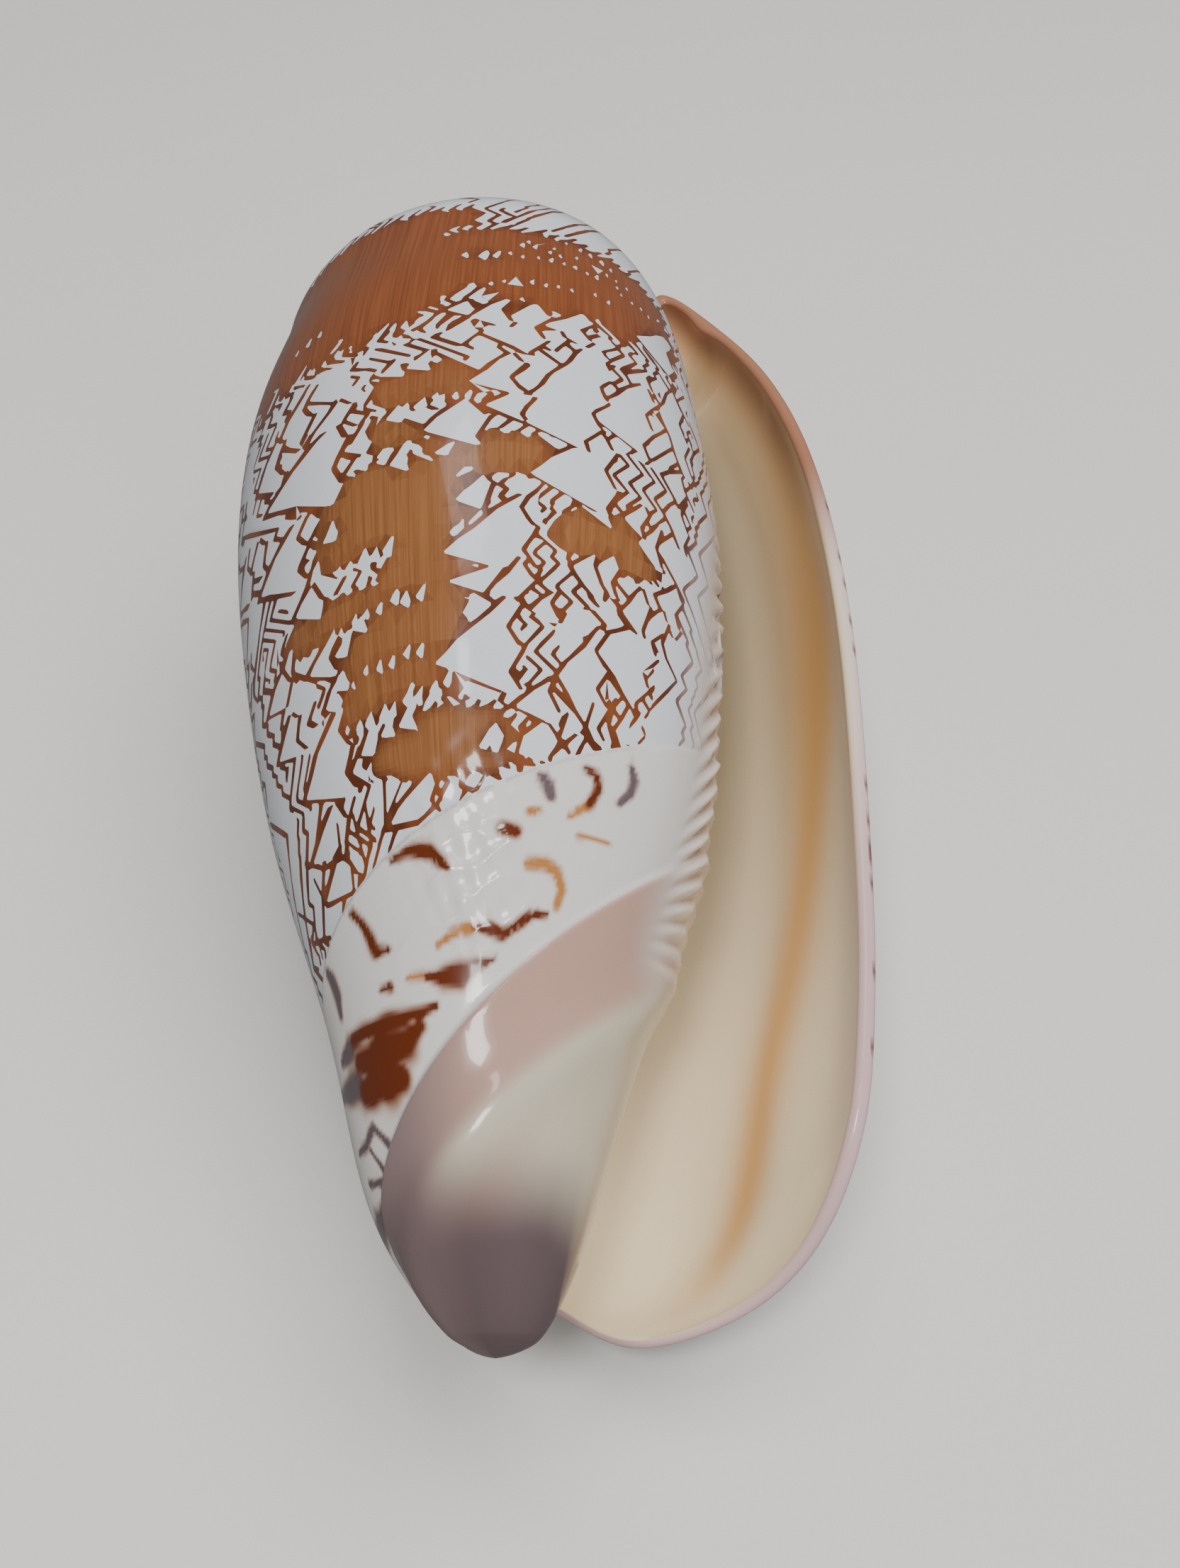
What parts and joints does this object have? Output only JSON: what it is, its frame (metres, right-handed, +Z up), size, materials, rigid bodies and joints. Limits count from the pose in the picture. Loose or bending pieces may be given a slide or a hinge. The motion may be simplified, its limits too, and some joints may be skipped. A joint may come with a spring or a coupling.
{
  "type": "tent olive shell",
  "caption": "Glossy spindle-shaped sea shell with a long slit beside a folded inner edge, a low channelled spire and brown tent markings on white.",
  "frame": {"origin": "centre of the bounding box at the surface the shell lies on", "axes": "+Y along the shell towards the spire, +X towards the outer lip, +Z up out of the slit"},
  "size_m": [0.0456, 0.0924, 0.0419],
  "materials": {
    "shell": "glossy enamel"
  },
  "bodies": {
    "root": {"shell": "shell"}
  },
  "joints": []
}
